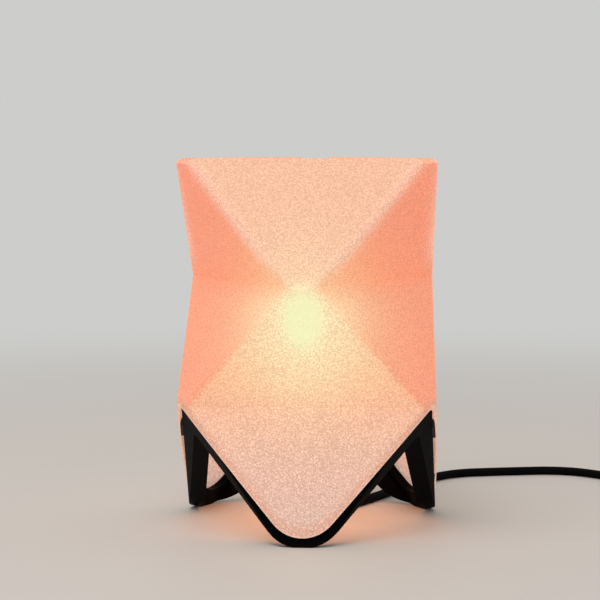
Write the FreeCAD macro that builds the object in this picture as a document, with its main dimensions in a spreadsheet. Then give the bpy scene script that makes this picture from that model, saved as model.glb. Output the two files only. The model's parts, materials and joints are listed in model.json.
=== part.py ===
"""Table lamp with a folded translucent shade standing on a black three-footed frame.

The shade is one textured sheet folded into three layers of triangles: every ring of folds is a
blunt triangle turned by sixty degrees against the next one. The lowest layer ends in three
pointed kites whose edges are followed by the black frame, so the frame makes three feet and
three shoulders. A three-armed bracket on the shoulders carries the lampholder and the bulb.

Millimetres, +Z up, the origin on the table under the lamp's axis, one foot towards -Y.
"""

import math
import os

import FreeCAD
import Part
import Sketcher

os.makedirs("parts", exist_ok=True)
doc = FreeCAD.newDocument("folded_table_lamp")
V = FreeCAD.Vector
UP = V(0, 0, 1)
ORIGIN = V(0, 0, 0)

SIZES = {
    # folded shade
    "fold_side": 194,  # side of the sharp triangle that each ring of folds is cut from
    "top_level": 255,
    "waist_level": 170,
    "shoulder_level": 87,
    "toe_level": -1,  # where the lowest folds would end
    "rim_corner_width": 14,
    "waist_corner_width": 18,
    "toe_corner_width": 30,
    "toe_reach": 100,
    "fold_radius": 9,
    "sheet_thickness": 1,
    "rim_round_radius": 12,
    # edge of the shade and the frame along it
    "edge_angle": 42.4,  # of the edge from the vertical, seen square on
    "tip_radius": 26.5,
    "peak_radius": 12,
    "band_overlap": 6,
    "band_below": 6.8,
    "band_inset": 3,
    "band_depth": 7,
    "foot_flat": 0.5,
    "tab_width": 7,
    "tab_low_place": 30,
    "tab_high_place": 66,
    # bracket
    "bracket_level": 79,
    "bracket_thickness": 2,
    "bracket_disc_radius": 22,
    "arm_width": 10,
    "arm_reach": 86,
    "boss_inner_reach": 76,
    "boss_outer_reach": 91,
    "boss_width": 12,
    "boss_height": 7,
    "screw_reach": 81,
    "screw_radius": 1.5,
    "screw_head_radius": 2.9,
    "screw_head_height": 1.8,
    "screw_length": 6,
    "screw_slot_width": 0.6,
    "screw_slot_depth": 0.7,
    "arm_overlap": 4,  # how far each arm runs in under the disc
    "running_clearance": 0.08,
    # lampholder
    "holder_radius": 13,
    "holder_wall": 2,
    "holder_bottom": 66,
    "holder_top": 108,
    "flange_radius": 17,
    "flange_thickness": 2,
    "cap_bottom": 54,
    "cap_radius": 12,
    "insert_height": 14,
    "shell_inner_radius": 7.1,
    "shell_wall": 0.5,
    "shell_top": 104,
    "insert_channel_radius": 2,
    "insert_channel_place": 5,
    "contact_radius": 2.5,
    "collar_height": 6,
    "collar_radius": 17,
    "collar_grooves": 18,
    "grip_radius": 6,
    "grip_length": 10,
    # bulb
    "bulb_radius": 22.5,
    "bulb_level": 138,
    "bulb_neck_radius": 8,
    "bulb_tip_level": 82.6,
    "bulb_cap_level": 86,
    "bulb_cap_top": 108,
    "bulb_cap_radius": 6.8,
    # cord, switch and plug
    "cord_diameter": 6.5,
    "coil_radius": 42.5,
    "coil_gap": 0.7,
    "coil_layer_gap": 0.45,
    "switch_length": 62,
    "switch_width": 26,
    "switch_height": 20,
    "rocker_length": 20,
    "rocker_width": 11,
    "coil_lead": 7,
    "switch_lead": 38,
    "link_length": 30,
    "rocker_tilt": 9,
    "rocker_gap": 0.6,
    "rocker_rise": 2.2,
    "rocker_valley": 0.2,
    "rocker_depth": 4.4,
    "rocker_draft": 1.6,
    "pivot_radius": 1.5,
    "pivot_depth": 3.2,
    "pivot_reach": 7.1,
    "seat_depth": 6,
    "cord_clamp_length": 6,
    "switch_corner_radius": 6,
    "switch_edge_radius": 2.5,
    "switch_screw_inset": 11,
    "switch_screw_side": 8,
    "switch_screw_cover": 4,
    "plug_length": 34,
    "plug_width": 34,
    "plug_height": 14,
    "pin_radius": 2,
    "pin_length": 19,
    "pin_spacing": 19,
    "plug_neck_wall": 2.5,
    "plug_shoulder_share": 0.55,
    "plug_corner_radius": 3,
    "plug_edge_radius": 1.5,
}

table = doc.addObject("Spreadsheet::Sheet", "Sizes")
for row, (alias, value) in enumerate(SIZES.items(), 1):
    table.set(f"A{row}", alias)
    table.set(f"B{row}", str(value))
    table.setAlias(f"B{row}", alias)
doc.recompute()


def size(alias):
    """A driving size, read back from the sheet."""
    return float(table.get(alias))


def bind(thing, **expressions):
    """Bind an object's properties to expressions over the sheet's aliases."""
    for name, expression in expressions.items():
        path = name.replace("__", ".")
        thing.setExpression(path, in_sheet(expression))
    return thing


def in_sheet(expression):
    """The expression with each alias written as the sheet's own cell."""
    words = expression.replace("(", "( ").replace(")", " )").split()
    return " ".join(f"Sizes.{word}" if word in SIZES else word for word in words)


def feature(label, shape):
    """A named solid whose shape is worked out here."""
    thing = doc.addObject("Part::Feature", label)
    thing.Label = label
    thing.Shape = shape
    return thing


def turned_about(shape, degrees):
    """A copy of the shape, turned about the lamp's axis."""
    copy = shape.copy()
    copy.rotate(ORIGIN, UP, degrees)
    return copy


def along(degrees, reach, level=0.0):
    """The point at a compass direction, a distance from the axis and a level."""
    angle = math.radians(degrees)
    return V(reach * math.cos(angle), reach * math.sin(angle), level)


# ---------------------------------------------------------------- folded shade

SHOULDER_WAYS = (90, 210, 330)
TOE_WAYS = (30, 150, 270)
THIRDS = (0, 120, 240)
HALF_SIDE = size("fold_side") / 2
SHARP_REACH = size("fold_side") / math.sqrt(3)
CLEAR_CORE = 0.35 * SHARP_REACH  # nothing of the shade or the band comes this near the axis


def ring_reaches(corner_width, sharp_reach):
    """Distances from the axis to a blunt corner and to a long side of a ring."""
    return sharp_reach - corner_width * math.sqrt(3) / 2, sharp_reach / 2


def ring_edges(level, reaches, corners_at, radius, inset):
    """One ring of folds: six sides, parallel on every ring, with a round corner before each."""
    corner_reach, side_reach = reaches
    ways = [30 + 60 * k for k in range(6)]
    reach = {way: (corner_reach if way in corners_at else side_reach) - inset for way in ways}
    tightest = min(radius, max(radius - inset, 1.0))
    corner_points = []
    for way in ways:
        following = (way + 60) % 360
        spread = reach[following] - reach[way] * math.cos(math.radians(60))
        side_shift = spread / math.sin(math.radians(60))
        corner_points.append(along(way, reach[way], level) + along(way + 90, side_shift))
    cut = tightest * math.tan(math.radians(30))
    edges = []
    for k, way in enumerate(ways):
        corner = corner_points[k]
        arc_start = corner - along(way + 90, cut)
        arc_end = corner + along(way + 150, cut)
        centre = arc_start - along(way, tightest)
        middle = centre + along(way + 30, tightest)
        next_start = corner_points[(k + 1) % 6] - along(way + 150, cut)
        edges.append(Part.Arc(arc_start, middle, arc_end).toShape())
        edges.append(Part.LineSegment(arc_end, next_start).toShape())
    return edges


def between_rings(upper, lower):
    """The faces of one layer: flat between sides, ruled between round corners."""
    faces = []
    for number, (above, below) in enumerate(zip(upper, lower)):
        if number % 2:
            corners = [above.Vertexes[0], above.Vertexes[1], below.Vertexes[1], below.Vertexes[0]]
            points = [corner.Point for corner in corners]
            faces.append(Part.Face(Part.makePolygon(points + points[:1])))
        else:
            faces.append(Part.makeRuledSurface(above, below))
    return faces


def folded_body(inset, beyond=0.0):
    """The solid inside the folds, moved in by the inset and run on past both ends."""
    radius = size("fold_radius")
    rim = ring_reaches(size("rim_corner_width"), SHARP_REACH)
    waist = ring_reaches(size("waist_corner_width"), SHARP_REACH)
    toe_sharp = size("toe_reach") + size("toe_corner_width") * math.sqrt(3) / 2
    toe = ring_reaches(size("toe_corner_width"), toe_sharp)
    rings = [
        (size("top_level"), rim, SHOULDER_WAYS),
        (size("waist_level"), waist, TOE_WAYS),
        (size("shoulder_level"), rim, SHOULDER_WAYS),
        (size("toe_level"), toe, TOE_WAYS),
    ]
    if beyond:
        rings.insert(0, (size("top_level") + beyond, rim, SHOULDER_WAYS))
        rings.append((size("toe_level") - beyond, toe, TOE_WAYS))
    outlines = [ring_edges(level, reaches, ways, radius, inset) for level, reaches, ways in rings]
    faces = [Part.Face(Part.Wire(outlines[0])), Part.Face(Part.Wire(outlines[-1]))]
    for upper, lower in zip(outlines, outlines[1:]):
        faces.extend(between_rings(upper, lower))
    shell = Part.makeShell(faces)
    shell.sewShape()
    return outward(Part.makeSolid(shell))


def outward(solid):
    """The solid with its faces turned outwards."""
    if solid.Volume < 0:
        solid.reverse()
    return solid


def edge_below(offset):
    """Everything below the shade's zigzag edge, with the edge moved down by the offset."""
    angle = math.radians(size("edge_angle"))
    radius = size("tip_radius") + offset
    centre_level = size("tip_radius") + size("band_below") - size("foot_flat")
    rise = radius * math.sin(angle)
    run = radius * math.cos(angle)
    far = 1.6 * HALF_SIDE
    far_level = centre_level - rise + (far - run) / math.tan(angle)
    floor_level = -60
    outline = Part.Wire(
        [
            Part.LineSegment(V(-far, 0, floor_level), V(-far, 0, far_level)).toShape(),
            Part.LineSegment(V(-far, 0, far_level), V(-run, 0, centre_level - rise)).toShape(),
            Part.Arc(
                V(-run, 0, centre_level - rise),
                V(0, 0, centre_level - radius),
                V(run, 0, centre_level - rise),
            ).toShape(),
            Part.LineSegment(V(run, 0, centre_level - rise), V(far, 0, far_level)).toShape(),
            Part.LineSegment(V(far, 0, far_level), V(far, 0, floor_level)).toShape(),
            Part.LineSegment(V(far, 0, floor_level), V(-far, 0, floor_level)).toShape(),
        ]
    )
    slab = Part.Face(outline).extrude(V(0, -far, 0))
    sector = Part.Face(
        Part.makePolygon(
            [
                V(0, 0, floor_level),
                along(210, 3 * far, floor_level),
                along(330, 3 * far, floor_level),
                V(0, 0, floor_level),
            ]
        )
    ).extrude(V(0, 0, 6 * far))
    core = Part.makeCylinder(CLEAR_CORE, 12 * far, V(0, 0, -6 * far))
    third = slab.common(sector).cut(core)
    star = third.multiFuse([turned_about(third, turn) for turn in THIRDS[1:]])
    ridge_slope = math.cos(math.radians(30)) / math.tan(angle)
    axis_level = centre_level - rise - run / math.tan(angle)
    peak = arch_peak(axis_level, ridge_slope, size("peak_radius") - offset, 3 * far)
    return star.cut(Part.makeCompound([turned_about(peak, way) for way in SHOULDER_WAYS]))


def arch_peak(axis_level, slope, radius, reach):
    """The sharp strip along the top of an arch over +X that a rounded peak leaves away."""
    ridge = V(1, 0, slope).normalize()
    sides = []
    for way in (60, -60):
        level_way = along(way, 1)
        sides.append((level_way - ridge * level_way.dot(ridge)).normalize())
    down = (sides[0] + sides[1]).normalize()
    half = down.getAngle(sides[0])
    apex = V(0, 0, axis_level)
    tangents = [apex + side * (radius / math.tan(half)) for side in sides]
    lowest = apex + down * (radius / math.sin(half) - radius)
    strip = Part.Wire(
        [
            Part.LineSegment(apex, tangents[0]).toShape(),
            Part.Arc(tangents[0], lowest, tangents[1]).toShape(),
            Part.LineSegment(tangents[1], apex).toShape(),
        ]
    )
    return Part.Face(strip).extrude(ridge * reach)


def sheet_wall():
    """How far the sheet's inner face is from its outer face, measured level."""
    lean = SHARP_REACH / 2 / (size("waist_level") - size("shoulder_level"))
    return size("sheet_thickness") * math.hypot(1, lean)


def shade_sheet():
    """The folded sheet: open at the top, pointed below, its rim eased at the three corners."""
    rim_reach = ring_reaches(size("rim_corner_width"), SHARP_REACH)[0] + 1.5
    rim_guard = Part.makeCylinder(rim_reach, size("top_level") + 60, V(0, 0, -60))
    top_edge = [e for e in rim_guard.Edges if abs(e.CenterOfMass.z - size("top_level")) < 0.01]
    rim_guard = rim_guard.makeFillet(size("rim_round_radius"), top_edge)
    body = folded_body(0).common(rim_guard)
    return body.cut(folded_body(sheet_wall(), 4)).cut(edge_below(0))


def foot_frame():
    """The zigzag band with three round feet, three shoulders and a shelf in each shoulder."""
    inset = size("band_inset")
    ring = folded_body(inset, 4).cut(folded_body(inset + size("band_depth"), 8))
    band = ring.common(edge_below(-size("band_overlap"))).cut(edge_below(size("band_below")))
    below_table = Part.makeBox(600, 600, 60, V(-300, -300, -60))
    band = band.cut(below_table)
    shelf_length = size("boss_outer_reach") - size("boss_inner_reach")
    shelf = Part.makeBox(
        shelf_length,
        size("boss_width"),
        size("boss_height"),
        V(size("boss_inner_reach"), -size("boss_width") / 2, size("bracket_level") - size("boss_height")),
    )
    shelf = shelf.common(folded_body(inset + 0.5))
    pilot = Part.makeCylinder(
        size("screw_radius") + size("running_clearance"),
        size("screw_length"),
        V(size("screw_reach"), 0, size("bracket_level") - size("screw_length") + 0.6),
    )
    shelf = shelf.cut(pilot)
    return band.multiFuse([turned_about(shelf, way) for way in SHOULDER_WAYS]).removeSplitter()


def sheet_tabs():
    """Twelve flat tabs that join the sheet's edge to the band, four along each foot."""
    gap = folded_body(sheet_wall(), 4).cut(folded_body(size("band_inset"), 4))
    strip = gap.common(edge_below(1.5 - size("band_overlap"))).cut(edge_below(0))
    tabs = []
    for place in (size("tab_low_place"), size("tab_high_place")):
        for side in (-1, 1):
            corner = V(side * place - size("tab_width") / 2, -2 * HALF_SIDE, -size("tip_radius"))
            block = Part.makeBox(size("tab_width"), 2 * HALF_SIDE, size("top_level"), corner)
            block = block.common(strip)
            tabs.extend(turned_about(solid, turn) for turn in THIRDS for solid in front_solids(block))
    return Part.makeCompound(tabs)


def front_solids(shape):
    """The solids of a shape that lie in the front third."""
    return [s for s in shape.Solids if -s.CenterOfMass.y > abs(s.CenterOfMass.x) / math.sqrt(3)]


feature("shade_sheet", shade_sheet())
feature("foot_frame", foot_frame())
feature("sheet_tabs", sheet_tabs())


# ---------------------------------------------------------------- helpers for turned pieces


def cylinder(name, radius, height, level):
    """A cylinder on the lamp's axis, bound to the sheet."""
    thing = doc.addObject("Part::Cylinder", name)
    return bind(thing, Radius=radius, Height=height, Placement__Base__z=level)


def joined(kind, label, parts):
    """A boolean of the named kind over the parts, first to last."""
    result = parts[0]
    for number, part in enumerate(parts[1:], 1):
        step = doc.addObject(kind, f"{label}_{kind[6:]}_{number}")
        step.Base = result
        step.Tool = part
        result = step
    result.Label = label
    return result


def less(label, *parts):
    return joined("Part::Cut", label, parts)


def plus(label, *parts):
    return joined("Part::Fuse", label, parts)


def origin_plane(body, role):
    """The body's own origin plane with that role."""
    return next(item for item in body.Origin.OriginFeatures if item.Role == role)


def level_sketch(body, name, level):
    """A sketch on the body's horizontal plane at a level bound to the sheet."""
    sketch = body.newObject("Sketcher::SketchObject", name)
    sketch.AttachmentSupport = [(origin_plane(body, "XY_Plane"), "")]
    sketch.MapMode = "FlatFace"
    return bind(sketch, AttachmentOffset__Base__z=level)


def draw_circle(sketch, radius, across="0"):
    """A circle on the sketch's X axis with radius and distance bound to the sheet."""
    number = sketch.addGeometry(Part.Circle(V(20, 0, 0), UP, 4), False)
    sketch.addConstraint(Sketcher.Constraint("PointOnObject", number, 3, -1))
    place = sketch.addConstraint(Sketcher.Constraint("DistanceX", -1, 1, number, 3, 20))
    reach = sketch.addConstraint(Sketcher.Constraint("Radius", number, 4))
    sketch.setExpression(f"Constraints[{reach}]", in_sheet(radius))
    sketch.setExpression(f"Constraints[{place}]", in_sheet(across))
    return number


def draw_centred_circle(sketch, radius):
    """A circle about the sketch's origin."""
    number = sketch.addGeometry(Part.Circle(ORIGIN, UP, 10), False)
    sketch.addConstraint(Sketcher.Constraint("Coincident", number, 3, -1, 1))
    reach = sketch.addConstraint(Sketcher.Constraint("Radius", number, 10))
    sketch.setExpression(f"Constraints[{reach}]", in_sheet(radius))
    return number


def draw_rectangle(sketch, left, right, half_width):
    """A rectangle from left to right along X, evenly about the X axis."""
    corners = [V(5, -3, 0), V(30, -3, 0), V(30, 3, 0), V(5, 3, 0)]
    first = sketch.GeometryCount
    for k in range(4):
        sketch.addGeometry(Part.LineSegment(corners[k], corners[(k + 1) % 4]), False)
    for k in range(4):
        sketch.addConstraint(Sketcher.Constraint("Coincident", first + k, 2, first + (k + 1) % 4, 1))
    for k, kind in ((0, "Horizontal"), (2, "Horizontal"), (1, "Vertical"), (3, "Vertical")):
        sketch.addConstraint(Sketcher.Constraint(kind, first + k))
    sizes = (
        (Sketcher.Constraint("DistanceX", -1, 1, first, 1, 5), left),
        (Sketcher.Constraint("DistanceX", -1, 1, first, 2, 30), right),
        (Sketcher.Constraint("DistanceY", first, 1, -1, 1, 3), half_width),
        (Sketcher.Constraint("DistanceY", -1, 1, first + 2, 1, 3), half_width),
    )
    for constraint, expression in sizes:
        number = sketch.addConstraint(constraint)
        sketch.setExpression(f"Constraints[{number}]", in_sheet(expression))


def pad(body, sketch, name, length):
    """A pad of the sketch, upwards, bound to the sheet."""
    thing = body.newObject("PartDesign::Pad", name)
    thing.Profile = sketch
    return bind(thing, Length=length)


def pocket_up(body, sketch, name, length):
    """A pocket cut upwards from the sketch, with its result compared against the body before."""
    doc.recompute()
    before = body.Shape.Volume
    thing = body.newObject("PartDesign::Pocket", name)
    thing.Profile = sketch
    thing.Reversed = True
    bind(thing, Length=length)
    doc.recompute()
    if not body.Shape.Volume < before:
        raise RuntimeError(f"{name} cuts nothing")
    return thing


def polar(body, original, name, count):
    """The feature repeated about the lamp's axis."""
    pattern = body.newObject("PartDesign::PolarPattern", name)
    pattern.Originals = [original]
    pattern.Axis = (origin_axis(body, "Z_Axis"), [""])
    pattern.Angle = 360
    bind(pattern, Occurrences=count)
    body.Tip = pattern
    return pattern


def origin_axis(body, role):
    return next(item for item in body.Origin.OriginFeatures if item.Role == role)


def new_body(label):
    body = doc.addObject("PartDesign::Body", label)
    body.Label = label
    return body


# ---------------------------------------------------------------- bracket and its screws


def bracket():
    """A flat plate: a disc round the lampholder and three arms to the shoulders."""
    body = new_body("bracket")
    disc_outline = level_sketch(body, "disc_outline", "bracket_level")
    draw_centred_circle(disc_outline, "bracket_disc_radius")
    pad(body, disc_outline, "disc", "bracket_thickness")
    arm_outline = level_sketch(body, "arm_outline", "bracket_level")
    draw_rectangle(arm_outline, "bracket_disc_radius - arm_overlap", "arm_reach", "arm_width / 2")
    arm = pad(body, arm_outline, "arm", "bracket_thickness")
    polar(body, arm, "arms", "3")
    hole_outline = level_sketch(body, "holder_hole_outline", "bracket_level")
    draw_centred_circle(hole_outline, "holder_radius + running_clearance")
    body.Tip = pocket_up(body, hole_outline, "holder_hole", "bracket_thickness")
    screw_outline = level_sketch(body, "screw_hole_outline", "bracket_level")
    draw_circle(screw_outline, "screw_radius + running_clearance", "screw_reach")
    hole = pocket_up(body, screw_outline, "screw_hole", "bracket_thickness")
    polar(body, hole, "screw_holes", "3")
    body.Placement = FreeCAD.Placement(ORIGIN, FreeCAD.Rotation(UP, SHOULDER_WAYS[0]))


def screw(length, foot):
    """A pan-headed screw whose shank starts at the foot and points up."""
    head_radius = size("screw_head_radius")
    head_height = size("screw_head_height")
    shank = Part.makeCylinder(size("screw_radius"), length, foot)
    head = Part.makeCylinder(head_radius, head_height, foot + V(0, 0, length))
    head_top = foot.z + length + head_height
    crown = [e for e in head.Edges if e.CenterOfMass.z > head_top - 0.01]
    head = head.makeFillet(head_height * 0.6, crown)
    slot_length = head_radius * 1.3
    slot_width = size("screw_slot_width")
    slot_depth = size("screw_slot_depth")
    slot_corner = foot + V(-slot_length / 2, -slot_width / 2, length + head_height - slot_depth)
    return shank.fuse(head).cut(Part.makeBox(slot_length, slot_width, slot_depth, slot_corner))


def bracket_screws():
    """Three screws through the arms into the shelves."""
    top = size("bracket_level") + size("bracket_thickness")
    foot = V(size("screw_reach"), 0, top - size("screw_length"))
    one = screw(size("screw_length"), foot)
    return Part.makeCompound([turned_about(one, way) for way in SHOULDER_WAYS])


bracket()
feature("bracket_screws", bracket_screws())


# ---------------------------------------------------------------- lampholder


def lampholder():
    """A holder for a small screw cap, hung through the bracket between a flange and a collar ring."""
    outer = cylinder("holder_outer", "holder_radius", "holder_top - holder_bottom", "holder_bottom")
    flange = cylinder(
        "holder_flange", "flange_radius", "flange_thickness", "bracket_level - flange_thickness"
    )
    bore = cylinder(
        "holder_bore", "holder_radius - holder_wall", "holder_top - holder_bottom + 2", "holder_bottom - 1"
    )
    less("lampholder_body", plus("holder_with_flange", outer, flange), bore)

    cap = cylinder("cap_outer", "cap_radius", "holder_bottom - cap_bottom", "cap_bottom")
    hollow = cylinder(
        "cap_hollow",
        "cap_radius - holder_wall",
        "holder_bottom - cap_bottom",
        "cap_bottom + holder_wall",
    )
    passage = cylinder(
        "cap_passage", "cord_diameter / 2 + 0.2", "2 * holder_wall", "cap_bottom - holder_wall / 2"
    )
    less("lampholder_cap", cap, hollow, passage)

    block = cylinder(
        "insert_block", "holder_radius - holder_wall - running_clearance", "insert_height", "holder_bottom"
    )
    channels = []
    for number, side in enumerate((-1, 1)):
        channel = cylinder(
            f"insert_channel_{number}", "insert_channel_radius", "insert_height + 2", "holder_bottom - 1"
        )
        channel.Placement.Base.x = size("insert_channel_place") * side
        channels.append(channel)
    less("lampholder_insert", block, *channels)

    shell = cylinder(
        "shell_outer",
        "shell_inner_radius + shell_wall",
        "shell_top - holder_bottom - insert_height",
        "holder_bottom + insert_height",
    )
    shell_bore = cylinder(
        "shell_bore", "shell_inner_radius", "shell_top - holder_bottom", "holder_bottom + insert_height - 1"
    )
    less("lampholder_screw_shell", shell, shell_bore)

    cylinder(
        "lampholder_contact",
        "contact_radius",
        "bulb_tip_level - holder_bottom - insert_height - 0.1",
        "holder_bottom + insert_height",
    )


def collar():
    """The ring that clamps the holder to the bracket, with grip grooves round it."""
    body = new_body("lampholder_collar")
    ring_outline = level_sketch(body, "ring_outline", "bracket_level + bracket_thickness")
    draw_centred_circle(ring_outline, "collar_radius")
    draw_centred_circle(ring_outline, "holder_radius + running_clearance")
    pad(body, ring_outline, "ring", "collar_height")
    groove_outline = level_sketch(body, "groove_outline", "bracket_level + bracket_thickness + 1")
    draw_circle(groove_outline, "1", "collar_radius + 0.3")
    groove = pocket_up(body, groove_outline, "groove", "collar_height")
    polar(body, groove, "grooves", "collar_grooves")


def cord_grip():
    """The tapered sleeve that holds the cord where it leaves the holder."""
    bottom = size("cap_bottom") - size("grip_length")
    wide = size("grip_radius")
    sleeve = Part.makeCone(wide - 1.2, wide, size("grip_length"), V(0, 0, bottom))
    for step in range(3):
        level = bottom + 2 + step * 2.4
        ring = Part.makeCylinder(wide + 2, 0.8, V(0, 0, level))
        ring = ring.cut(Part.makeCylinder(wide - 1.4, 0.8, V(0, 0, level)))
        sleeve = sleeve.cut(ring)
    bore = Part.makeCylinder(size("cord_diameter") / 2 + 0.2, size("grip_length") - 1, V(0, 0, bottom + 1))
    return sleeve.cut(bore)


lampholder()
collar()
feature("cord_grip", cord_grip())


# ---------------------------------------------------------------- bulb


def bulb_globe():
    """A round glass bulb with its neck, closed below by the cap."""
    radius = size("bulb_radius")
    level = size("bulb_level")
    neck = size("bulb_neck_radius")
    base = size("bulb_cap_top")
    fall = math.radians(52)
    cheek = V(radius * math.cos(fall), 0, level - radius * math.sin(fall))
    sphere_arc = Part.Arc(V(0, 0, level + radius), V(radius, 0, level), cheek)
    throat = Part.BSplineCurve()
    throat.interpolate(
        Points=[cheek, V(neck, 0, base)],
        InitialTangent=V(-math.sin(fall), 0, -math.cos(fall)) * 12,
        FinalTangent=V(0, 0, -8),
    )
    outline = Part.Wire(
        [
            sphere_arc.toShape(),
            throat.toShape(),
            Part.LineSegment(V(neck, 0, base), V(0, 0, base)).toShape(),
            Part.LineSegment(V(0, 0, base), V(0, 0, level + radius)).toShape(),
        ]
    )
    return Part.Face(outline).revolve(ORIGIN, UP, 360)


def bulb_cap():
    """The metal screw cap with rounded rings for its thread."""
    radius = size("bulb_cap_radius")
    bottom = size("bulb_cap_level")
    body = Part.makeCylinder(radius - 0.7, size("bulb_cap_top") - bottom, V(0, 0, bottom))
    turns = int((size("bulb_cap_top") - bottom - 4) / 2.8)
    rings = [
        Part.makeTorus(radius - 1.1, 1.1, V(0, 0, bottom + 2.2 + 2.8 * turn)) for turn in range(turns)
    ]
    skirt = Part.makeCylinder(radius, 2, V(0, 0, size("bulb_cap_top") - 2))
    return body.multiFuse(rings + [skirt])


def bulb_foot():
    """The black insulator below the cap and the solder tip at its point."""
    tip_level = size("bulb_tip_level")
    tip_height = 0.9
    tip = Part.makeCone(1.6, 2.6, tip_height, V(0, 0, tip_level))
    height = size("bulb_cap_level") - tip_level - tip_height
    wide = size("bulb_cap_radius") - 0.9
    insulator = Part.makeCone(3.4, wide, height, V(0, 0, tip_level + tip_height))
    return {"bulb_insulator": insulator, "bulb_tip": tip}


feature("bulb_globe", bulb_globe())
feature("bulb_cap", bulb_cap())
for label, shape in bulb_foot().items():
    feature(label, shape)


# ---------------------------------------------------------------- cord

CORD_RADIUS = size("cord_diameter") / 2
GRIP_BOTTOM = size("cap_bottom") - size("grip_length")
COIL_START = V(262, 122, CORD_RADIUS)
COIL_ENTRY = V(1, -1, 0).normalize()
COIL_CENTRE = COIL_START + V(1, 1, 0).normalize() * size("coil_radius")
LAYER_RISE = size("cord_diameter") + size("coil_layer_gap")

# From the grip down to the table, backwards under the frame, then to the right and off to the coil.
CORD_ROUTE = [
    V(0, 0, GRIP_BOTTOM),
    V(0, 0, 20.25),
    V(12, 12, CORD_RADIUS),
    V(33, 44, CORD_RADIUS),
    V(67, 103, CORD_RADIUS),
    V(100, 157, CORD_RADIUS),
    V(149, 172, CORD_RADIUS),
    V(198, 179, CORD_RADIUS),
    V(229, 155, CORD_RADIUS),
    COIL_START - COIL_ENTRY * size("coil_lead"),
]


def rounded_route(points, name):
    """Straight runs joined by tangent arcs, each arc as wide as its shorter run allows."""
    edges = []
    last = points[0]
    radii = []
    for before, corner, after in zip(points, points[1:], points[2:]):
        into = (corner - before).normalize()
        out = (after - corner).normalize()
        turn = into.getAngle(out)
        shorter = min((corner - before).Length, (after - corner).Length)
        cut = 0.45 * shorter
        radius = cut / math.tan(turn / 2)
        radii.append(round(radius, 1))
        start = corner - into * cut
        end = corner + out * cut
        bisector = (out - into).normalize()
        middle = corner + bisector * (radius / math.cos(turn / 2) - radius)
        edges.append(Part.LineSegment(last, start).toShape())
        edges.append(Part.Arc(start, middle, end).toShape())
        last = end
    edges.append(Part.LineSegment(last, points[-1]).toShape())
    print(name, "bend radii", radii)
    return Part.Wire(edges)


def tube(path, name):
    """The cord's round section swept along a path, with its volume compared with section times length."""
    start = path.Edges[0]
    origin = start.valueAt(start.FirstParameter)
    direction = start.tangentAt(start.FirstParameter)
    circle = Part.Wire(Part.Circle(origin, direction, CORD_RADIUS).toShape())
    solid = path.makePipeShell([circle], True, False)
    expected = math.pi * CORD_RADIUS**2 * path.Length
    print(name, "length", round(path.Length, 1), "volume share", round(solid.Volume / expected, 4))
    return solid


def coil_path():
    """Spirals in on the table, climbs one layer in half a turn, and spirals out on top."""
    pitch = size("cord_diameter") + size("coil_gap")
    halves_in = 5
    inward = (COIL_CENTRE - COIL_START).normalize()
    forward = COIL_ENTRY
    edges = [Part.LineSegment(CORD_ROUTE[-1], COIL_START).toShape()]
    place = COIL_START
    radius = size("coil_radius")
    side = 1
    for _ in range(halves_in):
        centre = place + inward * (side * radius)
        middle = centre + forward * (side * radius)
        end = centre + inward * (side * radius)
        edges.append(Part.Arc(place, middle, end).toShape())
        place = end
        side = -side
        radius -= pitch / 2
    edges.append(climb(place, inward * side, forward * side, radius).toShape())
    place = place + inward * (side * 2 * radius) + V(0, 0, LAYER_RISE)
    side = -side
    for _ in range(halves_in + 1):
        radius += pitch / 2
        centre = place + inward * (side * radius)
        middle = centre + forward * (side * radius)
        end = centre + inward * (side * radius)
        edges.append(Part.Arc(place, middle, end).toShape())
        place = end
        side = -side
    way_out = forward * side
    lead_end = place + way_out * size("switch_lead")
    edges.append(Part.LineSegment(place, lead_end).toShape())
    return Part.Wire(edges), lead_end, way_out


def climb(place, inward, forward, radius):
    """Half a turn that rises by one layer and starts and ends level."""
    centre = place + inward * radius
    points = []
    steps = 24
    for step in range(steps + 1):
        share = step / steps
        angle = math.pi * share
        rise = LAYER_RISE * (1 - math.cos(angle)) / 2
        level_place = centre - inward * (radius * math.cos(angle)) + forward * (radius * math.sin(angle))
        points.append(level_place + V(0, 0, rise))
    pull = forward * (math.pi * radius)
    curve = Part.BSplineCurve()
    curve.interpolate(Points=points, InitialTangent=pull, FinalTangent=-pull)
    return curve


def least_gap(wire):
    """The least clear gap between turns of the coil that lie beside or on each other."""
    step = 2.0
    points = wire.discretize(Distance=step)
    apart = int(3 * size("cord_diameter") / step)
    least = min(
        place.distanceToPoint(other)
        for number, place in enumerate(points)
        for other in points[number + apart :]
    )
    return least - size("cord_diameter")


feature("cord_free", tube(rounded_route(CORD_ROUTE, "cord_free"), "cord_free"))
coil_wire, COIL_END, COIL_EXIT = coil_path()
feature("cord_coil", tube(coil_wire, "cord_coil"))
print("cord_coil least gap between turns", round(least_gap(coil_wire), 2))

SWITCH_START = COIL_END
SWITCH_END = SWITCH_START + COIL_EXIT * size("switch_length")
PLUG_START = SWITCH_END + COIL_EXIT * size("link_length")
feature(
    "cord_link",
    tube(Part.Wire(Part.LineSegment(SWITCH_END, PLUG_START).toShape()), "cord_link"),
)


# ---------------------------------------------------------------- switch


def laid(shape):
    """A piece made along +X from the origin, laid where the cord leaves the coil."""
    copy = shape.copy()
    copy.rotate(ORIGIN, UP, math.degrees(math.atan2(COIL_EXIT.y, COIL_EXIT.x)))
    copy.translate(SWITCH_START)
    return copy


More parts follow.
